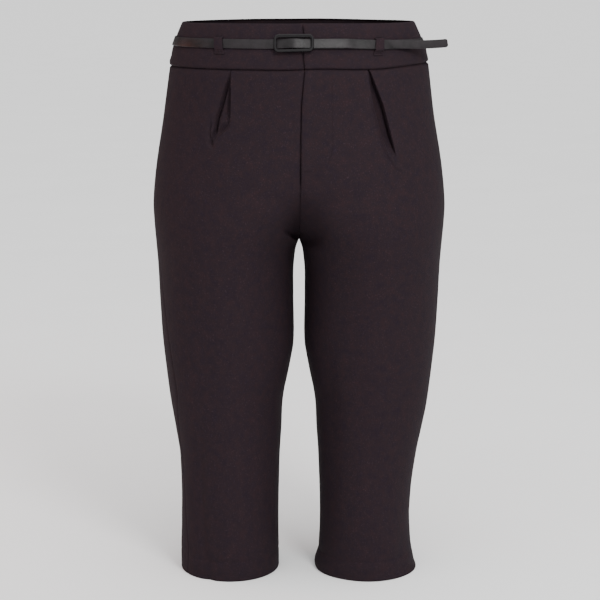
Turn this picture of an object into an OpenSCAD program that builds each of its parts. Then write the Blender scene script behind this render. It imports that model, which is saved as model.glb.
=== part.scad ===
// Cropped dress trousers with a skinny belt, in millimetres.
// +Z is up, the front faces -Y and the hems stand on Z = 0.
// Left and right are as seen from the front, so left is -X.

/* [Cloth] */
// Thickness of one cloth layer
cloth = 1.6; // [1.2:0.1:1.7]
// Gap between two pieces that are sewn edge to edge
seam_gap = 0.4; // [0.2:0.1:0.8]
// Thickness of the lining inside the waistband
facing = 1.0; // [0.8:0.1:1.1]

/* [Fly] */
// Distance of the fly's overlap edge from the middle plane
fly_edge = 5; // [3:0.5:6]
// Height of the bottom of the fly
fly_bottom = 592; // [588:1:600]
// Depth of the zip's front edge behind the front of the fly
zip_depth = 5.6; // [5.4:0.1:5.8]
// Distance of the middle of the zip from the middle plane
zip_x = 12; // [10:0.5:14]

/* [Belt] */
// Width of the strap
strap_width = 12; // [10:0.5:12.5]
// Thickness of the strap
strap = 1.2; // [1.0:0.1:1.3]
// Height of the strap's middle line
belt_height = 760.8; // [760:0.1:761.5]
// Length of the strap's free end
tail_length = 89; // [60:1:91]
// Angle of the free end away from the waist, in degrees
tail_lift = 6; // [5:0.5:6.5]
// Angle at which the free end of the strap droops, in degrees
tail_drop = 4; // [0:0.5:5]

/* [Buckle] */
// Width of the buckle's frame
buckle_width = 53; // [48:1:56]
// Height of the buckle's frame
buckle_height = 23.6; // [23:0.1:25]
// Width of the frame's side rails
side_rail = 4.2; // [3.5:0.1:5]
// Width of the frame's top and bottom rails
long_rail = 3.6; // [3.2:0.1:3.8]
// Place of the buckle's middle across the front
buckle_x = -6.7; // [-8:0.1:-5]

/* [Belt loops] */
// Width of a belt loop
loop_width = 13; // [10:0.5:14]
// Thickness of a belt loop
loop_cloth = 1.0; // [0.8:0.1:1.1]

/* [View] */
// Piece to draw

/* [Hidden] */

// Shape of one side of the trousers at each height: height, outer half width,
// place of the leg's middle line, depth of the front, depth of the back.
stations = [
    [0, 168, 99, 75, 76],
    [85, 165, 98, 76, 77],
    [170, 169, 99, 79, 81],
    [210, 175.5, 101, 82, 85],
    [250, 182.5, 103.5, 87, 90],
    [295, 188, 102.5, 94, 98],
    [345, 193, 101.5, 102, 107],
    [400, 196, 102.5, 112, 119],
    [450, 198, 103, 122, 131],
    [484, 200.5, 100.3, 130, 139],
    [510, 202.5, 90, 136, 145],
    [540, 203.5, 72, 140, 149],
    [594, 198.5, 38, 141, 147],
    [660, 188, 16, 135.4, 138],
    [728, 179, 0, 131, 128],
    [748, 175, 0, 126.5, 124],
    [767, 166.5, 0, 119.5, 118.5],
    [786, 157.5, 0, 112, 112]
];
last = len(stations) - 1;

panel_rows = [
    0, 50, 105, 155, 195, 230, 270, 310, 350, 395, 435, 465, 482,
    490, 500, 512, 526, 542, 560, 580, 605, 640, 680, 727.7
];
waistband_rows = [728.3, 738, 748, 757, 767, 776.5, 786];
facing_rows = [729.5, 738, 748, 757, 767, 776.5, 784];
fly_rows = [fly_bottom, 600, 612, 626, 642, 660, 680, 704, 727.3];
strap_rows = [belt_height - strap_width / 2, belt_height, belt_height + strap_width / 2];

// Layers of the belt, as heights of their middle lines above the waistband.
layer_gap = 0.4;
first_layer = 0.5 + strap / 2;
second_layer = first_layer + strap + layer_gap;
third_layer = second_layer + strap + layer_gap;
bar_radius = 1.0;
bar_wrap = bar_radius + 0.3 + strap / 2;
bar_layer = first_layer + bar_wrap;
over_bar = bar_layer + bar_wrap + strap + layer_gap - 0.1;
frame_back = 3.9;
frame_front = 6.9;

tail_angle = -44;
// Rise of a strap for each millimetre that it stands off the sloping waistband.
lean = 0.33;
zip_middle = 661;
zip_top = 722;
zip_low = 600;
slider_rest = 56;
tooth_pitch = 2.4;

color_cloth = [0.18, 0.15, 0.16];
color_lining = [0.22, 0.19, 0.20];
color_leather = [0.12, 0.11, 0.11];
color_metal = [0.55, 0.55, 0.56];

// ---- Shape of the trousers ----

function tangent(i, k) =
    let (a = max(i - 1, 0), b = min(i + 1, last))
    (stations[b][k] - stations[a][k]) / (stations[b][0] - stations[a][0]);

function span_of(z, i = 0) = (i < last - 1 && z > stations[i + 1][0]) ? span_of(z, i + 1) : i;

// Smooth value of column k of the stations at height z.
function shape(z, k) =
    let (
        i = span_of(z),
        h = stations[i + 1][0] - stations[i][0],
        t = (z - stations[i][0]) / h,
        p = stations[i][k],
        q = stations[i + 1][k]
    )
    (2 * t ^ 3 - 3 * t ^ 2 + 1) * p + (t ^ 3 - 2 * t ^ 2 + t) * h * tangent(i, k)
    + (3 * t ^ 2 - 2 * t ^ 3) * q + (t ^ 3 - t ^ 2) * h * tangent(i + 1, k);

function half_width(z) = shape(z, 1);
function lobe_middle(z) = shape(z, 2);
function lobe_radius(z) = shape(z, 1) - shape(z, 2);
function front_depth(z) = shape(z, 3);
function back_depth(z) = shape(z, 4);

// Point on one side's wall, lifted outwards by lift. Turn is 0 at the side seam.
function wall_point(side, back, z, turn, lift) =
    let (depth = back ? back_depth(z) : -front_depth(z), out = back ? lift : -lift)
    [
        side * (lobe_middle(z) + (lobe_radius(z) + lift) * cos(turn)),
        (depth + out) * sin(turn),
        z
    ];

// Turn at which the wall meets the plane x, or the inseam where it never does.
function turn_at(x, z, lift) =
    let (
        c = (x - lobe_middle(z)) / (lobe_radius(z) + lift),
        inseam = 180 - seam_turn(z)
    )
    c <= -1 ? inseam : min(inseam, acos(c));

function seam_turn(z) = asin(seam_gap / 2 / front_depth(z));

// Front of the trousers near the middle plane, at x.
function front_point(x, z, lift) =
    let (c = (abs(x) - lobe_middle(z)) / (lobe_radius(z) + lift))
    [x, -(front_depth(z) + lift) * sqrt(1 - c * c), z];

// Line of the centre front: the fly's edge above, and the crotch seam below.
function centre_front(z) = fly_edge * max(0, min(1, (z - 520) / 60));

// Slopes of the front, in degrees: across and upwards.
function slope_across(x, z) =
    let (d = front_point(x + 1, z, 0) - front_point(x - 1, z, 0)) atan2(d.y, d.x);
function slope_up(x, z) =
    let (d = front_point(x, z + 3, 0) - front_point(x, z - 3, 0)) -atan2(d.y, d.z);

// ---- Building blocks ----

// Closed sheet between two grids of points, each a list of equal rows.
module closed_sheet(outer, inner) {
    rows = len(outer) - 1;
    cols = len(outer[0]) - 1;
    width = cols + 1;
    half = (rows + 1) * width;
    points = [for (grid = [outer, inner]) for (row = grid) for (p = row) p];
    function id(i, j) = i * width + j;
    function split(a, b, c, d) = [[a, b, c], [a, c, d]];
    faces = [
        for (i = [0:rows - 1]) for (j = [0:cols - 1])
            for (f = split(id(i, j), id(i + 1, j), id(i + 1, j + 1), id(i, j + 1))) f,
        for (i = [0:rows - 1]) for (j = [0:cols - 1])
            for (f = split(id(i, j), id(i, j + 1), id(i + 1, j + 1), id(i + 1, j))) f + [half, half, half],
        for (i = [0:rows - 1]) for (
            f = split(id(i, 0), half + id(i, 0), half + id(i + 1, 0), id(i + 1, 0))) f,
        for (i = [0:rows - 1]) for (
            f = split(id(i, cols), id(i + 1, cols), half + id(i + 1, cols), half + id(i, cols))) f,
        for (j = [0:cols - 1]) for (
            f = split(id(0, j), id(0, j + 1), half + id(0, j + 1), half + id(0, j))) f,
        for (j = [0:cols - 1]) for (
            f = split(id(rows, j), half + id(rows, j), half + id(rows, j + 1), id(rows, j + 1))) f
    ];
    polyhedron(points = points, faces = faces, convexity = 10);
}

// Sheet on one side's wall, from the side seam to the plane x = to(z).
module wall_sheet(side, back, rows, cols, top, under, to) {
    grids = [
        for (lift = [top, under]) [
            for (z = rows) [
                for (j = [0:cols])
                    let (
                        from = seam_turn(z),
                        end = turn_at(to(z), z, lift)
                    )
                    wall_point(side, back, z, from + (end - from) * j / cols, lift)
            ]
        ]
    ];
    mirrored = (side < 0) != back;
    if (mirrored)
        closed_sheet(grids[0], grids[1]);
    else
        closed_sheet(grids[1], grids[0]);
}

// Sheet across the front from x0 to x1. depth(x) is how far it lies behind the front.
module front_sheet(x0, x1, rows, cols, depth, thickness) {
    grids = [
        for (extra = [0, thickness]) [
            for (z = rows) [
                for (j = [0:cols])
                    let (x = x0 + (x1 - x0) * j / cols)
                    front_point(x, z, -depth(x) - extra)
            ]
        ]
    ];
    closed_sheet(grids[1], grids[0]);
}

// Sheet across the back of the waistband, from side seam to side seam.
module back_band(rows, cols, top, under) {
    grids = [
        for (lift = [top, under]) [
            for (z = rows) [
                for (j = [0:cols])
                    let (from = seam_turn(z))
                    wall_point(1, true, z, from + (180 - 2 * from) * j / cols, lift)
            ]
        ]
    ];
    closed_sheet(grids[0], grids[1]);
}

// Puts children on the front at x and z: +Y points inwards and +Z up the cloth.
module on_front(x, z) {
    translate(front_point(x, z, 0))
        rotate([slope_up(x, z), 0, slope_across(x, z)])
            children();
}

// Puts children on the zip's straight line.
module on_zip() {
    high = front_point(zip_x, zip_top, 0);
    low = front_point(zip_x, zip_low, 0);
    slope = atan2(high.y - low.y, high.z - low.z);
    translate([zip_x, low.y + (high.y - low.y) * (zip_middle - zip_low) / (zip_top - zip_low), zip_middle])
        rotate([-slope, 0, 0])
            children();
}

// Box between two corners.
module box(low, high) {
    translate(low)
        cube(high - low);
}

// Flat rectangle with rounded corners, centred.
module rounded_rectangle(width, height, radius) {
    square([width - 2 * radius, height], center = true);
    square([width, height - 2 * radius], center = true);
    for (x = [-1, 1])
        for (y = [-1, 1])
            translate([x * (width / 2 - radius), y * (height / 2 - radius)])
                circle(r = radius, $fn = 48);
}

// ---- Strips that follow the waist ----

// Point at a plan angle round the waist, -90 at the front and 90 at the back.
function waist_point(angle, z, lift) =
    let (depth = sin(angle) < 0 ? front_depth(z) : back_depth(z))
    [(half_width(z) + lift) * cos(angle), (depth + lift) * sin(angle), z];

function waist_angle(x) = -acos(x / half_width(belt_height));

// Millimetres along the waist for each degree of plan angle.
function waist_scale(angle) =
    norm([half_width(belt_height) * sin(angle), front_depth(belt_height) * cos(angle)]) * PI / 180;

// Shifts a path of [distance, lift] pairs sideways by d, where scale(p) is mm per unit.
function shifted(path, d, scale) = [
    for (i = [0:len(path) - 1])
        let (
            before = path[max(i - 1, 0)],
            after = path[min(i + 1, len(path) - 1)],
            s = scale(path[i][0]),
            along = (after[0] - before[0]) * s,
            up = after[1] - before[1],
            size = norm([along, up])
        )
        [path[i][0] - up / size * d / s, path[i][1] + along / size * d]
];

// Strip round the waist that follows a path of [plan angle, lift] pairs.
module waist_strip(path, rows, thickness) {
    scale = function (angle) waist_scale(angle);
    grids = [
        for (d = [thickness / 2, -thickness / 2])
            let (edge = shifted(path, d, scale))
            [for (z = rows) [for (p = edge) waist_point(p[0], z + lean * p[1], p[1])]]
    ];
    closed_sheet(grids[0], grids[1]);
}

// Belt loop at a plan angle, standing clear of the strap by room.
module belt_loop(angle, room) {
    low = strap_rows[0];
    high = strap_rows[2];
    flat = 0.4 + loop_cloth / 2;
    raised = room + loop_cloth / 2;
    path = [
        [low - 7.3, flat], [low - 2.8, flat], [low - 1.6, raised],
        [high + 1.2, raised], [high + 2.2, flat], [high + 3.4, flat]
    ];
    scale = function (z) 1;
    reach = loop_width / 2 / waist_scale(angle);
    grids = [
        for (d = [loop_cloth / 2, -loop_cloth / 2])
            let (edge = shifted(path, -d, scale))
            [for (p = edge) [
                for (j = [-2:2])
                    waist_point(angle + reach * j / 2, p[0] + lean * p[1], p[1])
            ]]
    ];
    color(color_cloth)
        closed_sheet(grids[1], grids[0]);
}

// ---- Panels ----

module front_panel_left() {
    color(color_cloth)
        wall_sheet(-1, false, panel_rows, 22, 0, -cloth,
            function (z) seam_gap / 2 - centre_front(z));
}

module front_panel_right() {
    color(color_cloth)
        wall_sheet(1, false, panel_rows, 22, 0, -cloth,
            function (z) seam_gap / 2 + centre_front(z));
}

module back_panel(side) {
    color(color_cloth)
        wall_sheet(side, true, panel_rows, 22, 0, -cloth, function (z) seam_gap / 2);
}

module back_panel_left() {
    back_panel(-1);
}

module back_panel_right() {
    back_panel(1);
}

// ---- Waistband ----

module waistband_front_left() {
    color(color_cloth)
        wall_sheet(-1, false, waistband_rows, 18, 0, -cloth,
            function (z) seam_gap / 2 - fly_edge);
}

module waistband_front_right() {
    color(color_cloth)
        wall_sheet(1, false, waistband_rows, 18, 0, -cloth,
            function (z) seam_gap / 2 + fly_edge);
}

module waistband_back() {
    color(color_cloth)
        back_band(waistband_rows, 34, 0, -cloth);
}

facing_top = -cloth - 0.5;

module waist_facing_left() {
    color(color_lining)
        wall_sheet(-1, false, facing_rows, 18, facing_top, facing_top - facing,
            function (z) 1 - fly_edge);
}

module waist_facing_right() {
    color(color_lining)
        wall_sheet(1, false, facing_rows, 18, facing_top, facing_top - facing,
            function (z) 1 + fly_edge);
}

module waist_facing_back() {
    color(color_lining)
        back_band(facing_rows, 34, facing_top, facing_top - facing);
}

// Underlap that carries the bar of the hook fastening.
module waist_tab() {
    shallow = 3.7;
    deep = 9.4;
    color(color_cloth)
        front_sheet(-18, 46, [730, 740, 750, 760, 770, 780], 16,
            function (x) shallow + (deep - shallow) * max(0, min(1, (x + 4) / 8)), 1.4);
}

// ---- Fly ----

module fly_facing() {
    color(color_lining)
        front_sheet(fly_edge + 0.6, 40, fly_rows, 8, function (x) cloth + 0.7, 0.6);
}

module fly_shield() {
    shallow = cloth + 0.9;
    deep = 13.7;
    color(color_lining)
        front_sheet(-28, 44, fly_rows, 18,
            function (x) shallow + (deep - shallow) * max(0, min(1, (x + 16) / 8)), 1.0);
}

tape_front = zip_depth + 3.6;

module zip_tape(side) {
    color(color_lining)
        on_zip()
            mirror([side < 0 ? 1 : 0, 0, 0])
                box([3.1, tape_front, -69], [15, tape_front + 0.6, 66]);
}

module zip_tape_left() {
    zip_tape(-1);
}

module zip_tape_right() {
    zip_tape(1);
}

// Row of teeth on a cord along the tape's edge.
module zip_teeth(side) {
    shift = side > 0 ? 0 : tooth_pitch / 2;
    color(color_metal)
        on_zip()
            mirror([side < 0 ? 1 : 0, 0, 0]) {
                box([1.9, tape_front - 0.3, -62], [2.9, tape_front + 0.9, 62.6]);
                for (i = [0:50])
                    translate([0, 0, -61 + shift + i * tooth_pitch])
                        box([0.6, tape_front - 0.8, -0.6], [2.8, tape_front + 1.4, 0.6]);
            }
}

module zip_teeth_left() {
    zip_teeth(-1);
}

module zip_teeth_right() {
    zip_teeth(1);
}

module zip_top_stops() {
    color(color_metal)
        on_zip()
            for (side = [0, 1])
                mirror([side, 0, 0])
                    box([0.8, tape_front - 0.8, 63], [2.9, tape_front + 1.4, 65]);
}

module zip_bottom_stop() {
    color(color_metal)
        on_zip()
            box([-2.9, tape_front - 0.8, -65.6], [2.9, tape_front + 1.4, -62.6]);
}

module zip_slider() {
    plate = tape_front - 1.2;
    under = tape_front + 1.8;
    color(color_metal)
        on_zip()
            translate([0, 0, slider_rest]) {
                box([-4.4, plate - 1, -4.5], [4.4, plate, 4.5]);
                box([-4.4, under, -4.5], [4.4, under + 1, 4.5]);
                box([-0.25, plate - 0.1, -0.5], [0.25, under + 0.1, 3.5]);
                for (side = [0, 1])
                    mirror([side, 0, 0]) {
                        box([3.35, plate - 0.1, -4.5], [4.4, plate + 0.8, 4.5]);
                        box([3.35, under - 0.8, -4.5], [4.4, under + 0.1, 4.5]);
                    }
                box([-0.8, zip_depth - 0.9, -1.8], [0.8, plate - 0.9, -1.0]);
                box([-0.8, zip_depth - 0.9, 2.6], [0.8, plate - 0.9, 3.4]);
                box([-0.8, zip_depth - 0.9, -1.8], [0.8, zip_depth - 0.3, 3.4]);
            }
}

module zip_pull() {
    color(color_metal)
        on_zip()
            translate([0, zip_depth + 1, slider_rest])
                rotate([90, 0, 0])
                    linear_extrude(height = 1)
                        difference() {
                            union() {
                                translate([-2.5, -15.5])
                                    square([5, 17.3]);
                                translate([0, -15.5])
                                    circle(r = 2.5, $fn = 32);
                            }
                            translate([-1.3, -3.2])
                                square([2.6, 3.6]);
                        }
}

// ---- Hook fastening inside the waistband ----

hook_x = 26;
hook_z = 757;

module waist_hook() {
    color(color_metal)
        on_front(hook_x, hook_z) {
            box([-6, 3.4, -7], [6, 4.2, 7]);
            box([-6, 3.4, -2.5], [-5.2, 6.9, 2.5]);
            box([-6, 6.1, -2.5], [2, 6.9, 2.5]);
        }
}

module waist_bar() {
    color(color_metal)
        on_front(hook_x, hook_z) {
            box([-2, 4.8, -6.5], [1, 5.5, 6.5]);
            for (side = [0, 1])
                mirror([0, 0, side]) {
                    box([-2, 4.8, 5.7], [1, 8.4, 6.5]);
                    box([-2, 7.7, 5.7], [1, 8.4, 9.5]);
                }
        }
}

// ---- Belt loops ----

one_layer = first_layer + strap / 2 + 0.5;
two_layers = second_layer + strap / 2 + 0.5;
front_loop_angle = -51.7;

module loop_front_left() {
    belt_loop(-180 - front_loop_angle, one_layer);
}

module loop_front_right() {
    belt_loop(front_loop_angle, two_layers);
}

module loop_side_left() {
    belt_loop(140, one_layer);
}

module loop_side_right() {
    belt_loop(40, one_layer);
}

module loop_back() {
    belt_loop(90, one_layer);
}

// ---- Belt ----

function on_belt(x, lift) = [waist_angle(x), lift];

// Fold round the buckle's bar, round the waist, over the bar and on to the tail.
strap_path = [
    for (x = [58, 46, 34, 22, 10, 2]) on_belt(x, first_layer),
    for (a = [-90:-30:-270])
        on_belt(buckle_x + bar_wrap * cos(a), bar_layer + bar_wrap * sin(a)),
    on_belt(buckle_x + 4, bar_layer + bar_wrap - 0.8),
    on_belt(4, second_layer),
    for (x = [16, 30, 44, 62]) on_belt(x, second_layer),
    on_belt(74, first_layer),
    for (angle = [-60:6:240]) [angle, first_layer],
    for (x = [-74, -60, -46]) [360 + waist_angle(x), first_layer],
    [360 + waist_angle(-31), first_layer + 1.3],
    [360 + waist_angle(-20), over_bar - 2.6],
    [360 + waist_angle(-13), over_bar - 0.9],
    [360 + waist_angle(buckle_x), over_bar],
    [360 + waist_angle(-1), over_bar - 0.6],
    [360 + waist_angle(4), over_bar - 1.6],
    [360 + waist_angle(11), third_layer],
    for (x = [20, 34, 48, 62]) [360 + waist_angle(x), third_layer],
    [360 + waist_angle(76), second_layer],
    for (angle = [-57, -51, tail_angle - 0.4]) [360 + angle, second_layer]
];

module belt_strap() {
    color(color_leather)
        waist_strip(strap_path, strap_rows, strap);
}

module belt_tail() {
    height = belt_height + lean * second_layer;
    along = waist_point(tail_angle + 0.5, height, second_layer)
        - waist_point(tail_angle - 0.5, height, second_layer);
    up = waist_point(tail_angle, height + 3, second_layer)
        - waist_point(tail_angle, height - 3, second_layer);
    heading = atan2(along.y, along.x);
    tilt = atan((up * [-sin(heading), cos(heading), 0]) / up.z);
    color(color_leather)
        translate(waist_point(tail_angle, height, second_layer))
            rotate([90 - tilt, 0, heading])
                rotate([0, -tail_lift, -tail_drop])
                    translate([0, 0, -strap / 2])
                        linear_extrude(height = strap) {
                            translate([0.7, -strap_width / 2])
                                square([tail_length / 2 - 0.7, strap_width]);
                            translate([tail_length / 2, 0])
                                rounded_rectangle(tail_length, strap_width, 3);
                        }
}

module buckle() {
    // The cloth slopes, so the bar stands a little nearer when measured square to it.
    bar_depth = bar_layer * 0.94;
    arm = frame_back - bar_depth;
    color(color_leather)
        on_front(buckle_x, belt_height)
            rotate([90, 0, 0]) {
                translate([0, 0, frame_back])
                    linear_extrude(height = frame_front - frame_back)
                        difference() {
                            rounded_rectangle(buckle_width, buckle_height, 6);
                            rounded_rectangle(buckle_width - 2 * side_rail,
                                buckle_height - 2 * long_rail, 3.5);
                        }
                translate([0, 0, bar_depth])
                    rotate([90, 0, 0])
                        cylinder(r = bar_radius, h = buckle_height - 4, center = true, $fn = 32);
                for (side = [-1, 1])
                    translate([0, side * (buckle_height / 2 - 2.2), bar_depth + arm / 2])
                        cube([2.4, 2.2, arm + 1.6], center = true);
            }
}

front_panel_left();
front_panel_right();
back_panel_left();
back_panel_right();
waistband_front_left();
waistband_front_right();
waistband_back();
waist_facing_left();
waist_facing_right();
waist_facing_back();
waist_tab();
fly_facing();
fly_shield();
zip_tape_left();
zip_tape_right();
zip_teeth_left();
zip_teeth_right();
zip_top_stops();
zip_bottom_stop();
zip_slider();
zip_pull();
waist_hook();
waist_bar();
loop_front_left();
loop_front_right();
loop_side_left();
loop_side_right();
loop_back();
belt_strap();
belt_tail();
buckle();
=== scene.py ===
"""Looks for the cropped trousers with a skinny belt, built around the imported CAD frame.

Shapes are worked out in millimetres and put into the scene in metres. +Z is up, the front
faces -Y, and left and right are as seen from the front, so left is -X.
"""

import math

import bpy
import numpy as np
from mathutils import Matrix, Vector


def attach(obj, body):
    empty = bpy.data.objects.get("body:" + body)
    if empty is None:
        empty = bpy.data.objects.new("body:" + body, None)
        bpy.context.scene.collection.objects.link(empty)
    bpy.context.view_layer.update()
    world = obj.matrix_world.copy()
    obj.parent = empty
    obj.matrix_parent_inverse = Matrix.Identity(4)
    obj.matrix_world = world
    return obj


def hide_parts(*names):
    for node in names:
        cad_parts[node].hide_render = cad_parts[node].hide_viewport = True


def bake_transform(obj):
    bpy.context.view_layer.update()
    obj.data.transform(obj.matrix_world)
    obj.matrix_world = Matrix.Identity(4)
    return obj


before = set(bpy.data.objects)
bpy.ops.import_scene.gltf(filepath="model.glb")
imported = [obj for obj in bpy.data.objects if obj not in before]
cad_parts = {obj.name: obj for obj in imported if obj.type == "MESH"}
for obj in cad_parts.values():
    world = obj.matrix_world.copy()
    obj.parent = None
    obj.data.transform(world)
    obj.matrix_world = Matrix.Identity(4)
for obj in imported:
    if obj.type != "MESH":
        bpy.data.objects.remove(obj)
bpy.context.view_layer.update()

MM = 0.001
ROOT = "trousers"

# Shape of one side at each height: height, outer half width, place of the leg's middle line,
# depth of the front and depth of the back. The solids use the same shape.
STATIONS = np.array(
    [
        [0, 168, 99, 75, 76],
        [85, 165, 98, 76, 77],
        [170, 169, 99, 79, 81],
        [210, 175.5, 101, 82, 85],
        [250, 182.5, 103.5, 87, 90],
        [295, 188, 102.5, 94, 98],
        [345, 193, 101.5, 102, 107],
        [400, 196, 102.5, 112, 119],
        [450, 198, 103, 122, 131],
        [484, 200.5, 100.3, 130, 139],
        [510, 202.5, 90, 136, 145],
        [540, 203.5, 72, 140, 149],
        [594, 198.5, 38, 141, 147],
        [660, 188, 16, 135.4, 138],
        [728, 179, 0, 131, 128],
        [748, 175, 0, 126.5, 124],
        [767, 166.5, 0, 119.5, 118.5],
        [786, 157.5, 0, 112, 112],
    ]
)

# Columns of the stations.
HALF_WIDTH, LEG_MIDDLE, FRONT_DEPTH, BACK_DEPTH = 1, 2, 3, 4

# Heights of the waist, its belt and the crotch, and how far a layer of the belt rises for each
# millimetre that it stands off the leaning waist.
WAIST_SEAM = 728.0
WAIST_TOP = 786.0
BELT_HEIGHT = 760.8
CROTCH = 484.0
LEAN = 0.33

# Height of the hem's fold, thickness of the cloth, and the strap's section.
HEM = 28.0
CLOTH = 1.1
STRAP_WIDTH = 12.0
STRAP = 1.2

# Heights of the belt's layers above the waistband, and the radius of its turn round the bar.
FIRST_LAYER = 1.1
SECOND_LAYER = 2.7
THIRD_LAYER = 4.3
BAR_LAYER = 3.0
BAR_WRAP = 1.9
OVER_BAR = 6.4

# Place of the buckle across the front, and the plan angle of the front loops.
BUCKLE_X = -6.7
LOOP_ANGLE = -51.7

# Free end of the strap: plan angle of its root, length, and degrees it stands off and droops.
TAIL_ANGLE = -44.0
TAIL_LENGTH = 89.0
TAIL_LIFT = 6.0
TAIL_DROP = 4.0


# ---- Shape of the trousers ----


def curve_between(t, span, start, start_slope, end, end_slope):
    """Smooth curve between two values with their slopes, for t from 0 to 1."""
    return (
        (2 * t**3 - 3 * t**2 + 1) * start
        + (t**3 - 2 * t**2 + t) * span * start_slope
        + (3 * t**2 - 2 * t**3) * end
        + (t**3 - t**2) * span * end_slope
    )


def shape(z, column):
    """Smooth value of one column of the stations at heights z."""
    heights = STATIONS[:, 0]
    values = STATIONS[:, column]
    slopes = np.gradient(values) / np.gradient(heights)
    i = np.clip(np.searchsorted(heights, z) - 1, 0, len(heights) - 2)
    span = heights[i + 1] - heights[i]
    return curve_between((z - heights[i]) / span, span, values[i], slopes[i], values[i + 1], slopes[i + 1])


def smooth(value, low, high):
    """0 below low, 1 above high and a smooth rise between them."""
    t = np.clip((value - low) / (high - low), 0, 1)
    return t * t * (3 - 2 * t)


def line(z, *points):
    """Value at height z of a line through (height, value) points, given from the top down."""
    heights = [p[0] for p in reversed(points)]
    values = [p[1] for p in reversed(points)]
    return np.interp(z, heights, values)


def outer_change(side, z):
    """How far one leg's outer edge stands out from the even shape."""
    both = line(z, (660, 0), (600, 0.5), (520, 1.4), (300, 1.6), (0, 1.3))
    if side < 0:
        return both + line(z, (240, 0), (173, 1.4), (128, 3), (82, 4.6), (37, 4.6), (0, 3))
    return both + line(z, (240, 0), (173, -1.5), (128, -4.5), (82, -6), (37, -4.5), (8, -0.5), (0, 2.5))


def inner_change(side, z):
    """How far one leg's inner edge swings in towards the other leg."""
    both = line(
        z,
        (CROTCH, 0), (462, 0.9), (400, 1.0), (362, 1.8), (330, 3.2),
        (300, 2.4), (270, 1.3), (60, 1.0), (0, 0.5),
    )
    if side < 0:
        return both
    return both + line(z, (60, 0), (28, 1), (8, 7), (0, 6))


def section_radius(z):
    """Half the width of one side's section."""
    return shape(z, HALF_WIDTH) - shape(z, LEG_MIDDLE)


def wall(side, z, turn):
    """Points on one side's wall. Turn is 0 at the side, negative in front, 180 at the inseam."""
    angle = np.radians(turn)
    depth = np.where(angle < 0, shape(z, FRONT_DEPTH), shape(z, BACK_DEPTH))
    out = np.cos(angle)
    x = shape(z, LEG_MIDDLE) + section_radius(z) * out
    x = x + outer_change(side, z) * smooth(out, 0.05, 1.0)
    x = x - inner_change(side, z) * smooth(-out, 0.2, 1.0)
    y = depth * np.sin(angle)
    return np.stack([side * x, y, z + 0 * x], axis=-1)


def front_depth(x, z, lift=0.0):
    """Y of the even front at x and z."""
    c = (np.abs(x) - shape(z, LEG_MIDDLE)) / (section_radius(z) + lift)
    return -(shape(z, FRONT_DEPTH) + lift) * np.sqrt(1 - c * c)


def outward(side, z, turn):
    """Level unit vectors that point out of the wall."""
    angle = np.radians(turn)
    depth = np.where(angle < 0, shape(z, FRONT_DEPTH), shape(z, BACK_DEPTH))
    x = np.cos(angle) / section_radius(z)
    y = np.sin(angle) / depth
    size = np.hypot(x, y)
    return np.stack([side * x / size, y / size, 0 * x], axis=-1)


def turn_at(x, z):
    """Turn in front at which the wall meets the plane x of its own side."""
    c = (x - shape(z, LEG_MIDDLE)) / section_radius(z)
    return -np.degrees(np.arccos(np.clip(c, -1, 1)))


def settle(points):
    """Worn set of the waist: the seam rises at the right, and the top is full at the sides."""
    x, z = points[..., 0], points[..., 2]
    near = smooth(z, 640, 735) * (1 - 0.8 * smooth(z, 745, 780))
    roll = 5.2 * smooth(x, 95, 190) - 0.7 + 1.6 * np.exp(-(((x - 30) / 30) ** 2))
    top = 1.7 * smooth(z, 766, 784) - 0.8 * smooth(np.abs(x), 40, 158) * smooth(z, 764, 784)
    moved = points.copy()
    moved[..., 2] = z + roll * near + top
    full = np.where(x < 0, 3.4, 1.8) * smooth(np.abs(x), 60, 170) * smooth(z, 738, 770)
    moved[..., 0] = x + np.sign(x) * full
    return moved


def belt_sag(x):
    """How far the belt hangs down at the right."""
    return -2.0 * smooth(x, 55, 115)


def fly_line(z):
    """Place of the overlap's edge across the front."""
    return line(
        z,
        (786, 4.6), (772, 7.0), (745, 6.2), (728, 8.2), (708, 6.2),
        (681, 4.0), (643, 3.2), (574, 3.0), (540, 2.0), (CROTCH, 0),
    )


# ---- Meshes ----


def add_mesh(name, points, faces, sharp=40):
    """New object from millimetre points, with its faces turned outwards."""
    points = np.asarray(points, float).reshape(-1, 3)
    mesh = bpy.data.meshes.new(name)
    mesh.from_pydata((points * MM).tolist(), [], faces)
    mesh.validate()
    mesh.calc_loop_triangles()
    corners = np.empty(len(mesh.loop_triangles) * 3, dtype=np.int32)
    mesh.loop_triangles.foreach_get("vertices", corners)
    a, b, c = points[corners.reshape(-1, 3)].transpose(1, 0, 2)
    if (a * np.cross(b, c)).sum() < 0:
        mesh.flip_normals()
    mesh.polygons.foreach_set("use_smooth", [True] * len(mesh.polygons))
    mesh.set_sharp_from_angle(angle=math.radians(sharp))
    made = bpy.data.objects.new(name, mesh)
    bpy.context.scene.collection.objects.link(made)
    return made


def grid_faces(rows, cols, first=0, wrap=False):
    """Quads of a grid of rows by cols points. Wrap joins the last column to the first."""
    i, j = np.meshgrid(np.arange(rows - 1), np.arange(cols if wrap else cols - 1), indexing="ij")
    k = (j + 1) % cols
    quads = np.stack([i * cols + j, i * cols + k, (i + 1) * cols + k, (i + 1) * cols + j], axis=-1)
    return (quads.reshape(-1, 4) + first).tolist()


def add_sheet(name, outer, inner):
    """Closed sheet between two equal grids of points."""
    rows, cols = outer.shape[:2]
    half = rows * cols
    faces = grid_faces(rows, cols)
    faces += [face[::-1] for face in grid_faces(rows, cols, half)]
    rim = list(range(cols))
    rim += [i * cols + cols - 1 for i in range(1, rows)]
    rim += [(rows - 1) * cols + j for j in range(cols - 2, -1, -1)]
    rim += [i * cols for i in range(rows - 2, 0, -1)]
    for a, b in zip(rim, rim[1:] + rim[:1]):
        faces.append([b, a, a + half, b + half])
    points = np.concatenate([outer.reshape(-1, 3), inner.reshape(-1, 3)])
    return add_mesh(name, settle(points), faces)


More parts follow.
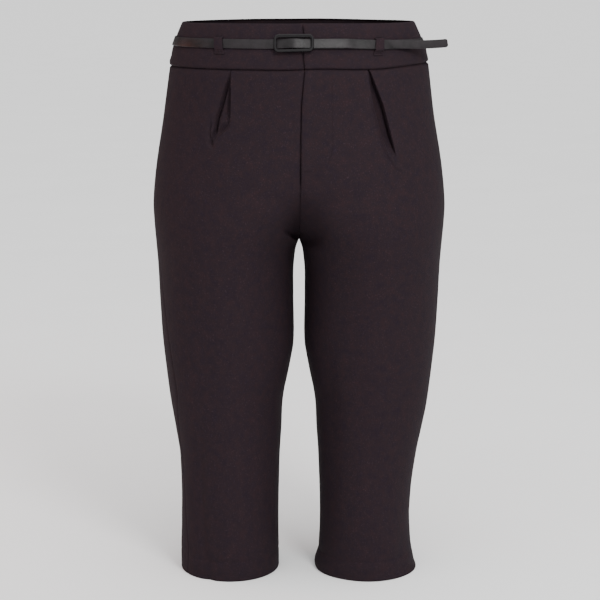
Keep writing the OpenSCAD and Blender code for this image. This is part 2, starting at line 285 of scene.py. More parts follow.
def add_tube(name, rings, closed=False, sharp=40):
    """Tube through equal rings of points, with flat ends unless it is closed."""
    count, around = rings.shape[:2]
    faces = grid_faces(count, around, wrap=True)
    if closed:
        last = (count - 1) * around
        for j in range(around):
            k = (j + 1) % around
            faces.append([last + j, last + k, k, j])
    else:
        faces.append(list(range(around))[::-1])
        faces.append([(count - 1) * around + j for j in range(around)])
    return add_mesh(name, rings, faces, sharp)


def rounded_section(width, height, radius, steps=3):
    """Outline of a rectangle with rounded corners, as [across, along] pairs."""
    outline = []
    for corner in range(4):
        x = (width / 2 - radius) * (1 if corner in (0, 3) else -1)
        y = (height / 2 - radius) * (1 if corner < 2 else -1)
        for step in range(steps + 1):
            angle = math.radians(90 * corner + 90 * step / steps)
            outline.append([x + radius * math.cos(angle), y + radius * math.sin(angle)])
    return np.array(outline)


def unit_rows(vectors):
    return vectors / np.linalg.norm(vectors, axis=1)[:, None]


def distance_along(points):
    """Distance of each point from the first, along the line through them."""
    return np.concatenate([[0], np.cumsum(np.linalg.norm(np.diff(points, axis=0), axis=1))])


def smooth_path(points, step):
    """Even points along a smooth curve through the given ones."""
    points = np.asarray(points, float)
    slopes = np.gradient(points, axis=0)
    fine = []
    for i in range(len(points) - 1):
        for t in np.linspace(0, 1, 12, endpoint=False):
            fine.append(curve_between(t, 1, points[i], slopes[i], points[i + 1], slopes[i + 1]))
    fine.append(points[-1])
    fine = np.array(fine)
    along = distance_along(fine)
    marks = np.linspace(0, along[-1], max(2, int(along[-1] / step) + 1))
    return np.stack([np.interp(marks, along, fine[:, k]) for k in range(points.shape[1])], axis=-1)


# ---- Folds and wrinkles ----


def distance_to(x, z, points):
    """Distance from x, z to a broken line, and how far along it the nearest place is."""
    best = np.full(np.shape(x + z), 1e9)
    where = np.zeros_like(best)
    total = len(points) - 1
    for i in range(total):
        ax, az = points[i]
        bx, bz = points[i + 1]
        size = (bx - ax) ** 2 + (bz - az) ** 2
        t = np.clip(((x - ax) * (bx - ax) + (z - az) * (bz - az)) / size, 0, 1)
        away = np.hypot(x - ax - t * (bx - ax), z - az - t * (bz - az))
        closer = away < best
        best = np.where(closer, away, best)
        where = np.where(closer, (i + t) / total, where)
    return best, where


def crease(x, z, points, height, width):
    """Soft ridge, or valley where height is negative, that dies away at both ends."""
    away, where = distance_to(x, z, points)
    ends = smooth(where, 0, 0.25) * (1 - smooth(where, 0.75, 1))
    return height * np.exp(-((away / width) ** 2)) * (0.25 + 0.75 * ends)


def waves(x, z, size, seed):
    """Gentle uneven swell of the cloth, made of a few crossing waves."""
    rng = np.random.default_rng(seed)
    total = 0 * (x + z)
    for _ in range(7):
        heading = rng.uniform(-0.5, 0.5)
        length = size * rng.uniform(0.6, 1.8)
        phase = rng.uniform(0, 6.28)
        across = x * math.cos(heading) + 0.35 * z * math.sin(heading + 0.8)
        total = total + np.sin(6.28 * across / length + phase + 1.3 * np.sin(z / (1.7 * size)))
    return total / 7


FRONT_LEFT_CREASES = [
    ([(-106, 680), (-112, 663), (-114.5, 647), (-118.5, 631), (-115, 625)], -3.4, 2.4),
    ([(-93, 716), (-98.4, 699), (-104.8, 677), (-109.6, 663), (-112.4, 647), (-114, 634)], -5.0, 1.4),
    ([(-117.6, 662), (-120.5, 640), (-117.5, 626)], -2.6, 1.8),
    ([(-116.5, 650), (-117.8, 636)], 1.4, 1.8),
    ([(-91, 657), (-101, 649), (-114, 640)], -2.6, 3.2),
    ([(-94, 668), (-99, 661), (-106, 653)], 2.4, 4),
    ([(-8, 668), (-7, 640), (-9, 605)], -0.7, 3.5),
    ([(-4, 530), (-34, 556), (-76, 574)], -1.3, 10),
    ([(-6, 505), (-42, 520), (-90, 532)], -1.1, 11),
    ([(-136, 235), (-141, 140), (-138, 60), (-131, 0)], -4.2, 9),
    ([(-98, 430), (-102, 300), (-98, 120), (-96, 0)], 1.6, 30),
    ([(-60, 322), (-100, 306), (-150, 312)], -0.9, 13),
    ([(-152, 14), (-136, 4), (-118, -4)], -1.6, 3.2),
    ([(-160, 30), (-146, 16), (-130, 10)], 1.1, 6),
]

FRONT_RIGHT_CREASES = [
    ([(93, 722), (99.2, 677), (108.6, 642), (116.6, 620), (129, 600), (152, 587)], 2.6, 2.3),
    ([(128, 612), (141, 598), (158, 592)], -1.1, 6),
    ([(14, 722), (12, 690), (12, 660)], 0.5, 5),
    ([(4, 532), (42, 552), (92, 566)], -1.7, 11),
    ([(6, 506), (48, 516), (98, 528)], -1.3, 12),
    ([(40, 352), (45, 220), (43, 60)], -1.7, 13),
    ([(104, 430), (100, 290), (98, 120), (100, 20)], 1.3, 30),
    ([(58, 300), (102, 288), (150, 296)], -0.9, 14),
    ([(150, 62), (146, 30), (150, 0)], -1.3, 8),
]

FLY_STITCH_LINE = [
    (43.6, 728), (43.8, 700), (43.8, 660), (43.6, 624), (41.6, 613),
    (36.5, 604.5), (28.5, 598.6), (20, 595.2), (8, 594.4),
]

BACK_CREASES = [
    ([(20, 500), (70, 520), (130, 540)], -1.8, 14),
    ([(20, 470), (80, 478), (140, 492)], -1.4, 13),
    ([(100, 430), (96, 250), (98, 60)], 1.4, 30),
    ([(60, 300), (110, 290), (150, 300)], -1.5, 12),
    ([(56, 262), (100, 256), (140, 264)], -1.1, 12),
    ([(140, 190), (136, 100), (138, 10)], -1.6, 12),
]


def left_slit(z):
    return line(
        z,
        (728, 90.3), (669, 90.8), (658, 92.5), (648, 100), (640, 108), (629, 116.5),
        (560, 114), (0, 100),
    )


def left_lap(z):
    return line(
        z,
        (728, 92.5), (717, 94.6), (699, 100), (677, 106.6), (663, 111.6),
        (647, 114.5), (629, 119), (560, 119), (0, 108),
    )


def right_slit(z):
    return line(
        z, (728, 93.4), (680.5, 111.8), (615, 129.5), (600, 132), (560, 131), (500, 120), (0, 112)
    )


def right_lap(z):
    return line(
        z,
        (728, 91), (717, 92.8), (677, 99.3), (642, 109), (620, 117.2),
        (605, 124), (560, 121), (500, 108), (0, 95),
    )


def pleat_relief(x, slit, lap, opened, softness, fill):
    """Depth of an open pleat. The cloth drops at slit, swells by fill and comes back up by lap."""
    towards = np.sign(lap - slit)
    inside = (x - slit) * towards
    width = np.abs(lap - slit)
    across = np.clip(inside / np.maximum(width, 0.5), 0, 1)
    under = -(9.0 - 5.4 * across**1.5) * smooth(inside, -0.4 * softness, softness)
    under = under + fill * np.exp(-(((across - 0.55) / 0.24) ** 2))
    back_up = 1 - smooth(inside - width, -1.2, 1.0)
    flap = 1.3 * np.exp(-np.maximum(-inside, 0) / 10) * (1 - smooth(inside, -0.9, 0.15))
    return opened * (under * back_up + flap)


def pleat_tuck(x, slit, lap, opened):
    """How far sideways the cloth just inside the slit slips under the pleat's fold."""
    towards = np.sign(lap - slit)
    inside = (x - slit) * towards
    return -towards * opened * 3.0 * smooth(inside, 0.05, 0.3) * (1 - smooth(inside, 0.3, 6))


def left_open(z):
    return (1 - 0.5 * smooth(z, 705, 727)) * smooth(z, 624, 652)


def right_open(z):
    return smooth(z, 604, 640) * (1 - 0.5 * smooth(z, 705, 727))


def front_relief(side, x, z):
    """Height of one front panel's cloth over the even wall, for its own side's x."""
    signed = side * x
    relief = 0.45 * waves(signed, z, 70, 3) * smooth(z, 0, 30)
    relief = relief + 0.5 * waves(signed, z, 150, 8) * (1 - smooth(z, 600, 690))
    for points, height, width in FRONT_LEFT_CREASES if side < 0 else FRONT_RIGHT_CREASES:
        relief = relief + crease(signed, z, points, height, width)
    if side < 0:
        soft = 0.3 + 9 * (1 - smooth(z, 654, 672))
        relief = relief + pleat_relief(x, left_slit(z), left_lap(z), left_open(z), soft, 2.6)
    else:
        soft = 0.3 + 6 * (1 - smooth(z, 604, 622))
        relief = relief + pleat_relief(x, right_slit(z), right_lap(z), right_open(z), soft, 0)
    across = np.clip((signed - shape(z, LEG_MIDDLE)) / section_radius(z), -1, 1)
    room = 0.55 * shape(z, FRONT_DEPTH) * np.sqrt(1 - across**2)
    hollow = np.minimum(room, 20) * smooth(z, 478, 500) * (1 - smooth(z, 505, 568))
    relief = relief - hollow * np.exp(-((signed / (14 if side < 0 else 26)) ** 2))
    fly = fly_line(z)
    under = smooth(z, 568, 588)
    if side < 0:
        relief = relief - under * 2.4 * smooth(signed, fly - 1.7, fly - 0.5)
    else:
        relief = relief + under * 1.0 * (1 - smooth(signed, fly + 3, fly + 15))
        relief = relief - under * 0.8 * (1 - smooth(signed, fly, fly + 0.9))
        away, _ = distance_to(signed, z, FLY_STITCH_LINE)
        sewn = 1 - 0.75 * smooth(z, 640, 690)
        relief = relief - 0.55 * sewn * np.exp(-((away / 1.3) ** 2))
        relief = relief + 0.35 * sewn * np.exp(-(((away - 3.2) / 1.6) ** 2))
    return relief


def back_relief(side, x, z):
    """Height of one back panel's cloth over the even wall, with its dart."""
    signed = side * x
    relief = 0.5 * waves(signed, z, 80, 21 + side) + 0.6 * waves(signed, z, 170, 31 + side)
    for points, height, width in BACK_CREASES:
        relief = relief + crease(x, z, points, height, width)
    dart_length = smooth(z, 640, 660)
    relief = relief - 1.3 * dart_length * np.exp(-(((x - 82) / 1.3) ** 2))
    return relief


def seam_drop(distance, depth=1.2, width=1.8):
    """Groove at a sewn edge."""
    return -depth * np.exp(-((distance / width) ** 2))


# ---- Panels ----


def side_seam(side, z):
    """Turn at which the front and back panels meet at the side."""
    if side > 0:
        return line(z, (728, 0), (400, 2), (0, 0))
    return line(
        z, (728, 0), (600, 0), (520, -9), (433, -23), (340, -31),
        (272, -35), (186, -21), (90, -28), (34, -36), (0, -33),
    )


def panel_heights(fine_from):
    hem = [0, 0.5, 1.4, 3, 6, 10, 15, 20, 25, 27.2, 28.2, 30, 34]
    low = np.arange(38, fine_from, 4.0)
    high = np.arange(fine_from, WAIST_SEAM - 3, 1.7)
    seam = WAIST_SEAM + np.array([-3, -1.6, -0.7, -0.3, 0.1, 0.6, 2.4])
    return np.concatenate([hem, low, high, seam])


def edge_columns(turn, step=0.03):
    """Same columns with one more beside each edge, where the seam allowance turns in."""
    first, last = turn[:, :1], turn[:, -1:]
    along = step * np.sign(turn[:, 1:2] - first)
    return np.concatenate([first, first + along, turn[:, 1:-1], last - along, last], axis=1)


def finish_sheet(side, z, turn, relief, edge_a, edge_b, sideways=0.0):
    """Outer and inner grids of a panel: seams turned in at its edges, and a turned-up hem.

    edge_a and edge_b are the distances from the side seam and from the centre or inseam.
    """
    relief = relief + seam_drop(edge_a, 0.8) + seam_drop(edge_b, 0.12, 0.9)
    relief = relief + seam_drop(np.maximum(WAIST_SEAM - z, 0), 2.6, 1.7)
    relief = relief - 1.5 * smooth(z, WAIST_SEAM - 0.2, WAIST_SEAM + 0.6)
    relief = relief - 0.55 * np.exp(-(((z - HEM) / 1.4) ** 2))
    relief = relief - 0.5 * (1 - smooth(z, 0, 1.2))
    thick = CLOTH + 0.9 * (1 - smooth(z, HEM - 1.5, HEM))
    out = outward(side, z, turn)
    level = side * np.stack([-out[..., 1], out[..., 0], 0 * z], axis=-1)
    centre = (np.exp(-((edge_b / 34) ** 2)) * smooth(z, 466, 486))[..., None]
    ahead = np.stack([0 * z, np.sign(turn), 0 * z], axis=-1)
    out = out * (1 - centre) + ahead * centre
    points = wall(side, z, turn) + level * (0 * z + sideways)[..., None]
    outer = points + out * relief[..., None]
    inner = points + out * (relief - thick)[..., None]
    for column in (0, -1):
        outer[:, column] -= 3.5 * out[:, column]
        inner[:, column] -= 5.5 * out[:, column]
    return outer, inner


def front_panel(side, name):
    z = panel_heights(540)[:, None]
    if side < 0:
        slit, lap = left_slit(z), left_lap(z)
        stops = [lap + 8, lap + 1, lap - 1.2, slit + 1.0, slit + 0.3, slit, slit - 2.2]
        counts = [50, 8, 4, 12, 3, 2, 4, 82]
        tuck = left_open(z) * smooth(z, 658, 674)
        end_x = -np.where(z > 545, fly_line(z) + 5 * smooth(z, 545, 575), fly_line(z))
    else:
        slit, lap = right_slit(z), right_lap(z)
        stops = [slit + 2.2, slit, slit - 0.3, slit - 1.0, lap + 1.2, lap - 1, lap - 8]
        counts = [48, 4, 2, 3, 12, 4, 8, 80]
        tuck = right_open(z) * smooth(z, 606, 626)
        end_x = fly_line(z)
    marks = [side_seam(side, z)]
    for stop in stops:
        marks.append(turn_at(stop, z))
    marks.append(turn_at(end_x, z))
    spans = []
    for low, high, count in zip(marks[:-1], marks[1:], counts):
        spans.append(low + (high - low) * np.linspace(0, 1, count, endpoint=False)[None, :])
    spans.append(marks[-1])
    turn = edge_columns(np.concatenate(spans, axis=1))
    z = z + 0 * turn
    x = side * wall(side, z, turn)[..., 0]
    relief = front_relief(side, x, z)
    reach = np.radians(np.abs(turn - turn[:, :1])) * shape(z, FRONT_DEPTH)
    back_reach = np.radians(np.abs(turn - turn[:, -1:])) * shape(z, FRONT_DEPTH)
    back_reach = back_reach + 40 * smooth(z, 548, 580)
    sideways = pleat_tuck(x, slit, lap, tuck)
    return add_sheet(name, *finish_sheet(side, z, turn, relief, reach, back_reach, sideways))


def back_panel(side, name):
    z = panel_heights(640)[:, None]
    start = side_seam(side, z)
    end = -turn_at(0, z)
    steps = np.linspace(0, 1, 110)[None, :]
    turn = edge_columns(start + (end - start) * steps)
    z = z + 0 * turn
    x = side * wall(side, z, turn)[..., 0]
    relief = back_relief(side, x, z)
    reach = np.radians(np.abs(turn - turn[:, :1])) * shape(z, BACK_DEPTH)
    back_reach = np.radians(np.abs(turn - turn[:, -1:])) * shape(z, BACK_DEPTH)
    return add_sheet(name, *finish_sheet(side, z, turn, relief, reach, back_reach))


# ---- Waistband ----


def band_heights(low, high):
    inner = np.linspace(low + 2, high - 2, 30)
    return np.concatenate([[low, low + 0.4, low + 1.0], inner, [high - 1.0, high - 0.4, high]])[:, None]


def band_relief(side, turn, z):
    """Height of the waistband's cloth: pressed in by the strap, rounded at its edges."""
    x = wall(side, z, turn)[..., 0]
    relief = 0.35 * waves(x, z, 60, 40) - 0.7 * np.exp(-(((z - BELT_HEIGHT) / 7) ** 2))
    relief = relief + seam_drop(z - WAIST_SEAM, 2.3, 1.2) + 0.6 * np.exp(-(((z - WAIST_SEAM - 5) / 4) ** 2))
    return relief - 0.8 * smooth(z, WAIST_TOP - 1.4, WAIST_TOP + 0.1) ** 2


def band_thickness(z):
    """The waistband is folded over at its top edge."""
    return CLOTH + 1.7 * smooth(z, WAIST_TOP - 2.6, WAIST_TOP - 1.8)


def band_grids(side, z, turn, relief, thick, turned_in=()):
    """Outer and inner grids of one part of the waist, with the given edge columns turned in."""
    points = wall(side, z, turn)
    out = outward(side, z, turn)
    outer = points + out * relief[..., None]
    inner = points + out * (relief - thick)[..., None]
    for column in turned_in:
        outer[:, column] -= 0.7 * out[:, column]
        inner[:, column] -= 0.8 * out[:, column]
    return outer, inner


def waistband_front(side, name):
    z = band_heights(WAIST_SEAM + 0.3, WAIST_TOP)
    start = 0 * z
    if side < 0:
        end = turn_at(-(fly_line(z) + 7), z)
    else:
        rounding = 5.0 * smooth(z, WAIST_TOP - 5, WAIST_TOP + 1) ** 2
        end = turn_at(fly_line(z) + 0.2 + rounding, z)
    turn = edge_columns(start + (end - start) * np.linspace(0, 1, 120)[None, :])
    z = z + 0 * turn
    signed = wall(side, z, turn)[..., 0]
    relief = band_relief(side, turn, z) + seam_drop(np.radians(-turn) * 170)
    fly = fly_line(z)
    if side < 0:
        relief = relief - 2.4 * smooth(signed, fly - 1.9, fly - 0.5)
    else:
        relief = relief + 0.9 * (1 - smooth(signed, fly + 3, fly + 14))
        relief = relief - 0.9 * (1 - smooth(signed, fly, fly + 1.0))
    return add_sheet(name, *band_grids(side, z, turn, relief, band_thickness(z), (0,)))


def waistband_back(name):
    z = band_heights(WAIST_SEAM + 0.3, WAIST_TOP)
    turn = edge_columns(180 * np.linspace(0, 1, 200)[None, :] + 0 * z)
    z = z + 0 * turn
    edges = seam_drop(np.radians(turn) * 170) + seam_drop(np.radians(180 - turn) * 170)
    relief = band_relief(1, turn, z) + edges
    return add_sheet(name, *band_grids(1, z, turn, relief, band_thickness(z), (0, -1)))


def waist_facing(name, side, first, last, columns):
    """Lining of the waistband between two turns."""
    z = band_heights(WAIST_SEAM + 1.5, WAIST_TOP - 3.2)
    turn = first + (last - first) * np.linspace(0, 1, columns)[None, :] + 0 * z
    z = z + 0 * turn
    x = wall(side, z, turn)[..., 0]
    relief = -2.1 + 0.2 * waves(x, z, 45, 50) - 0.6 * np.exp(-(((z - BELT_HEIGHT) / 7) ** 2))
    return add_sheet(name, *band_grids(side, z, turn, relief, 0.9 + 0 * z))


# ---- Pieces behind the fly ----


def front_patch(name, first, last, low, high, depth, thick, columns):
    """Cloth patch across the front. depth(x) is how far it lies behind the front."""
    z = np.linspace(low, high, 60)[:, None]
    x = np.linspace(first, last, columns)[None, :] + 0 * z
    z = z + 0 * x
    behind = depth(x) + 0.12 * waves(x, z, 30, 60)

    outer = np.stack([x, front_depth(x, z, -behind), z], axis=-1)
    inner = np.stack([x, front_depth(x, z, -behind - thick), z], axis=-1)
    return add_sheet(name, outer, inner)


def zip_line(x, depth, along):
    """Point near the zip: across, behind its front line and up from its middle."""
    low, high = -139.26, -131.34
    slope = math.atan2(high - low, 122.0)
    y = (low + high) / 2 + depth * math.cos(slope) + along * math.sin(slope)
    return [12 + x, y, 661 - depth * math.sin(slope) + along * math.cos(slope)]


def zip_tape(name, side):
    """Woven tape with a thicker edge beside the teeth."""
    across = np.array([3.1, 3.5, 4.2, 6, 8, 10, 12, 14, 14.7, 15.0])
    thick = np.array([0.5, 0.58, 0.55, 0.5, 0.5, 0.5, 0.5, 0.5, 0.5, 0.35])
    along = np.linspace(-69, 66, 60)
    grids = []
    for face in (-0.5, 0.5):
        grids.append([[zip_line(side * a, 9.5 + face * t, s) for a, t in zip(across, thick)] for s in along])
    return add_sheet(name, *np.array(grids))


# ---- Belt ----


def waist_point(angle, z, lift):
    """Points round the waist at plan angles, -90 at the front and 90 at the back."""
    a = np.radians(angle)
    depth = np.where(np.sin(a) < 0, shape(z, FRONT_DEPTH), shape(z, BACK_DEPTH))
    x = (shape(z, HALF_WIDTH) + lift) * np.cos(a)
    return np.stack([x, (depth + lift) * np.sin(a), z + 0 * a], axis=-1)


def waist_angle(x):
    return -math.degrees(math.acos(x / float(shape(BELT_HEIGHT, HALF_WIDTH))))


def strap_outline():
    """Path of the strap as [plan angle, height above the waistband]."""
    path = [[waist_angle(x), FIRST_LAYER] for x in (58, 46, 34, 22, 10, 2)]
    for angle in range(-90, -271, -30):
        a = math.radians(angle)
        path.append([waist_angle(BUCKLE_X + BAR_WRAP * math.cos(a)), BAR_LAYER + BAR_WRAP * math.sin(a)])
    path.append([waist_angle(BUCKLE_X + 4), BAR_LAYER + BAR_WRAP - 0.8])
    path += [[waist_angle(x), SECOND_LAYER] for x in (4, 16, 30, 44, 62)]
    path.append([waist_angle(74), FIRST_LAYER])
    path += [[angle, FIRST_LAYER] for angle in range(-60, 241, 6)]
    rising = [
        (-74, FIRST_LAYER), (-60, FIRST_LAYER), (-46, FIRST_LAYER), (-31, FIRST_LAYER + 1.3),
        (-20, OVER_BAR - 2.6), (-13, OVER_BAR - 0.9), (BUCKLE_X, OVER_BAR), (-1, OVER_BAR - 0.6),
        (4, OVER_BAR - 1.6), (11, THIRD_LAYER), (20, THIRD_LAYER), (34, THIRD_LAYER),
        (48, THIRD_LAYER), (62, THIRD_LAYER), (76, SECOND_LAYER),
    ]
    path += [[360 + waist_angle(x), lift] for x, lift in rising]
    path += [[360 + angle, SECOND_LAYER] for angle in (-57, -53, -50)]
    return path


def strap_scale(angle):
    """Millimetres along the waist for each degree of plan angle."""
    a = np.radians(angle)
    aside = shape(BELT_HEIGHT, HALF_WIDTH) * np.sin(a)
    return np.hypot(aside, shape(BELT_HEIGHT, FRONT_DEPTH) * np.cos(a)) * math.pi / 180


def belt_set(points):
    """The belt follows the fuller waist at the sides but not the rise of its seam."""
    moved = settle(points)
    moved[..., 2] = points[..., 2]
    return moved


def belt_strap(name):
    path = np.array(strap_outline())
    middle = strap_scale(path[:, 0])
    flat = np.concatenate([[0], np.cumsum(np.diff(path[:, 0]) * (middle[1:] + middle[:-1]) / 2)])
    curve = smooth_path(np.stack([flat, path[:, 1]], axis=-1), 1.6)
    section = rounded_section(STRAP, STRAP_WIDTH, 0.4)
    along = unit_rows(np.gradient(curve, axis=0))
    reach = distance_along(curve)
    knots = distance_along(np.stack([flat, path[:, 1]], axis=-1))
    angle = np.interp(reach / reach[-1], knots / knots[-1], path[:, 0])
    scale = strap_scale(angle)
    rings = []
    sag = belt_sag(waist_point(angle, BELT_HEIGHT, 0)[:, 0]) * (np.sin(np.radians(angle)) < 0.5)
    for across, up in section:
        shifted = angle - along[:, 1] * across / scale
        lift = curve[:, 1] + along[:, 0] * across
        rings.append(waist_point(shifted, BELT_HEIGHT + up + LEAN * lift + sag, lift))
    return add_tube(name, belt_set(np.stack(rings, axis=1)))


def tail_frame():
    """Root of the free end, and its directions along, up its width and outwards."""
    z = BELT_HEIGHT + LEAN * SECOND_LAYER
    root = waist_point(TAIL_ANGLE, z, SECOND_LAYER)
    along = waist_point(TAIL_ANGLE + 0.5, z, SECOND_LAYER) - waist_point(TAIL_ANGLE - 0.5, z, SECOND_LAYER)
    up = waist_point(TAIL_ANGLE, z + 3, SECOND_LAYER) - waist_point(TAIL_ANGLE, z - 3, SECOND_LAYER)
    heading = math.atan2(along[1], along[0])
    inwards = np.array([-math.sin(heading), math.cos(heading), 0])
    tilt = math.atan(float(up @ inwards) / float(up[2]))
    along = np.array([math.cos(heading), math.sin(heading), 0])
    width = inwards * math.sin(tilt) + np.array([0, 0, math.cos(tilt)])
    out = np.cross(along, width)
    lift, drop = math.radians(TAIL_LIFT), math.radians(TAIL_DROP)
    level = along * math.cos(drop) - width * math.sin(drop)
    lifted = level * math.cos(lift) + out * math.sin(lift)
    width = along * math.sin(drop) + width * math.cos(drop)
    return root, lifted, width, np.cross(lifted, width)


def belt_tail(name):
    root, along, width, out = tail_frame()
    section = rounded_section(STRAP, STRAP_WIDTH, 0.4)
    rings = []
    lift = SECOND_LAYER + section[:, 0]
    for angle in np.linspace(-51.5, TAIL_ANGLE, 12)[:-1]:
        sag = belt_sag(waist_point(angle, BELT_HEIGHT, 0)[0])
        rings.append(waist_point(angle, BELT_HEIGHT + section[:, 1] + LEAN * lift + sag, lift))
    tip = 4
    straight = TAIL_LENGTH - tip
    reaches = [*np.linspace(0.6, straight, 50), *(straight + tip * np.sin(np.linspace(0.2, 1.55, 8)))]
    for reach in reaches:
        left = max(0.0, reach - straight) / tip
        narrow = 1 - 0.42 * (1 - math.sqrt(max(0.0, 1 - left * left)))
        arch = math.sin(math.pi * reach / TAIL_LENGTH)
        sag = -2.0 * math.cos(0.5 * math.pi * min(1.0, reach / TAIL_LENGTH)) ** 0.5
        centre = root + along * reach + out * 0.9 * arch + width * (sag - 1.2 * arch)
        rings.append([centre + out * across + width * up * narrow for across, up in section])
    made = add_tube(name, belt_set(np.array(rings)))
    start = root - along * 4
    end = root + along * 24
    return made, start * MM, end * MM


def upright(angle, z):
    """Change of plan angle that keeps a front loop upright as the waist widens below it."""
    if math.sin(math.radians(angle)) > 0:
        return 0 * z
    x = math.cos(math.radians(angle)) * shape(BELT_HEIGHT, HALF_WIDTH)
    return -np.degrees(np.arccos(x / shape(z, HALF_WIDTH))) - waist_angle(x)


def loop_sag(angle):
    """How far a loop at this plan angle hangs down with the belt."""
    middle = waist_point(angle, BELT_HEIGHT, 0)
    return float(belt_sag(middle[0])) if middle[1] < 0 else 0.0


def belt_loop(name, angle, room):
    """Folded strip that bridges the strap, with a turned-in foot at each end."""
    low = BELT_HEIGHT - STRAP_WIDTH / 2
    high = BELT_HEIGHT + STRAP_WIDTH / 2
    flat = 0.95
    raised = room + 0.6
    path = smooth_path(
        [
            (low - 7.4, flat - 0.5), (low - 6.4, flat + 0.25), (low - 4.6, flat), (low - 2.7, flat + 0.1),
            (low - 1.3, raised - 0.5), (low + 1.0, raised), (high - 1.0, raised), (high + 1.0, raised - 0.4),
            (high + 2.2, flat + 0.2), (high + 3.2, flat - 0.5),
        ],
        0.55,
    )
    along = unit_rows(np.gradient(path, axis=0))
    height = (path[:, 0] - path[0, 0]) / (path[-1, 0] - path[0, 0])
    spread = 1 + 0.14 * (1 - smooth(height, 0.0, 0.22)) + 0.08 * smooth(height, 0.86, 1)
    section = rounded_section(1.1, 12.6, 0.45)
    scale = float(strap_scale(angle))
    rings = []
    for across, aside in section:
        z = path[:, 0] - along[:, 1] * across + loop_sag(angle)
        lift = path[:, 1] + along[:, 0] * across
        turned = angle + aside * spread / scale + upright(angle, z)
        rings.append(waist_point(turned, z + LEAN * lift, lift))
    return add_tube(name, belt_set(np.stack(rings, axis=1)))


# ---- Buckle ----


def front_frame(x, z):
    """Point on the front and the directions across, inwards and up the cloth."""

    def at(px, pz):
        return np.array([px, float(front_depth(px, pz)), pz])

    across = at(x + 1, z) - at(x - 1, z)
    up = at(x, z + 3) - at(x, z - 3)
    turn = math.atan2(across[1], across[0])
    tip = -math.atan2(up[1], up[2])
    across = np.array([math.cos(turn), math.sin(turn), 0])
    level = np.array([-math.sin(turn), math.cos(turn), 0])
    inwards = level * math.cos(tip) + np.array([0, 0, math.sin(tip)])
    up = -level * math.sin(tip) + np.array([0, 0, math.cos(tip)])
    return at(x, z), across, inwards, up


def buckle(name):
    """Rounded frame with bevelled rails, and its bar behind the middle."""
    origin, across, inwards, up = front_frame(BUCKLE_X, BELT_HEIGHT)
    rail = 3.9
    outline = rounded_section(53 - rail, 23.6 - rail + 0.1, 4.6, steps=12)
    along = unit_rows(np.roll(outline, -1, axis=0) - np.roll(outline, 1, axis=0))
    outside = np.stack([along[:, 1], -along[:, 0]], axis=-1)
    profile = [
        (0.5, 0.0), (0.42, 0.28), (0.22, 0.48), (0.08, 0.5), (-0.16, 0.5), (-0.36, 0.36),
        (-0.5, 0.08), (-0.5, -0.3), (-0.4, -0.5), (0.4, -0.5), (0.5, -0.34),
    ]

    def at(aside, height, ahead):
        return origin + across * aside + up * height - inwards * ahead

    rings = []
    for place, away in zip(outline, outside):
        rings.append([at(*(place + away * side * rail), 5.4 + front * 3.0) for side, front in profile])
    frame_part = add_tube(name, settle(np.array(rings)), closed=True, sharp=28)
    rings = []
    turns = np.linspace(0, 2 * math.pi, 16, endpoint=False)
    for height in np.linspace(-9.8, 9.8, 16):
        bend = 1.5 * smooth(abs(height), 7.6, 9.4)
        rings.append([at(math.cos(turn), height, 2.82 + bend + math.sin(turn)) for turn in turns])
    bar = add_tube(name + "_bar", settle(np.array(rings)), sharp=50)
    return frame_part, bar


# ---- Stitches ----


def front_surface(side, x, z):
    """Point on a front panel's finished cloth, and the direction out of it."""
    z = np.array([[float(z)]])
    turn = turn_at(np.array([[float(x)]]), z)
    relief = front_relief(side, np.array([[float(x)]]), z)
    point = wall(side, z, turn) + outward(side, z, turn) * relief[..., None]
    return point[0, 0], outward(side, z, turn)[0, 0]


def add_stitches(name, places, length, radius, place=settle):
    """Small rounded stitches. places are (middle, direction along, direction out)."""
    points = []
    faces = []
    for middle, along, out in places:
        along = along / np.linalg.norm(along)
        aside = np.cross(along, out)
        first = len(points)
        for reach, size, sink in ((-0.5, 0.45, 0.5), (-0.3, 0.95, 0.05), (0.3, 0.95, 0.05), (0.5, 0.45, 0.5)):
            for angle in np.linspace(0, 2 * math.pi, 6, endpoint=False):
                ring = aside * math.cos(angle) + out * math.sin(angle)
                points.append(middle + along * reach * length + ring * radius * size - out * sink * radius)
        for k in range(3):
            for j in range(6):
                a = first + 6 * k + j
                b = first + 6 * k + (j + 1) % 6
                faces.append([a, b, b + 6, a + 6])
        faces.append([first + j for j in range(6)][::-1])
        faces.append([first + 18 + j for j in range(6)])
    return add_mesh(name, place(np.array(points)), faces, 60)


def fly_stitches(name):
    curve = smooth_path(FLY_STITCH_LINE, 2.6)
    places = []
    for a, b in zip(curve[:-1], curve[1:]):
        first, out = front_surface(1, *a)
        last, _ = front_surface(1, *b)
        places.append(((first + last) / 2 + out * 0.05, last - first, out))
    for k in range(16):
        point, out = front_surface(1, 6.6 + 0.42 * k, 594.2 + 0.9 * (k % 2))
        places.append((point + out * 0.08, np.array([0.5, 0, 1.0]), out))
    return add_stitches(name, places, 2.0, 0.22)


def loop_stitches(name, angles):
    places = []
    for angle in angles:
        scale = float(strap_scale(angle))
        low = BELT_HEIGHT - STRAP_WIDTH / 2 + loop_sag(angle)
        for base in (low - 5.2, low + STRAP_WIDTH + 2.7):
            for k in range(15):
                here = angle + (k - 7) * 0.72 / scale + float(upright(angle, base))
                z = base + 0.5 * (k % 2)
                point = waist_point(here, z + LEAN, 1.6)
                out = point - waist_point(here, z + LEAN, 0.6)
                out = out / np.linalg.norm(out)
                places.append((point, np.array([0, 0, 1.0]) + 0.2 * np.cross(out, [0, 0, 1]), out))
    return add_stitches(name, places, 1.5, 0.2, belt_set)


# ---- Materials ----


def new_material(name):
    material = bpy.data.materials.new(name)
    material.use_nodes = True
    tree = material.node_tree
    shader = next(n for n in tree.nodes if n.type == "BSDF_PRINCIPLED")
    place = tree.nodes.new("ShaderNodeTexCoord")
    return material, tree, shader, place.outputs["Object"]


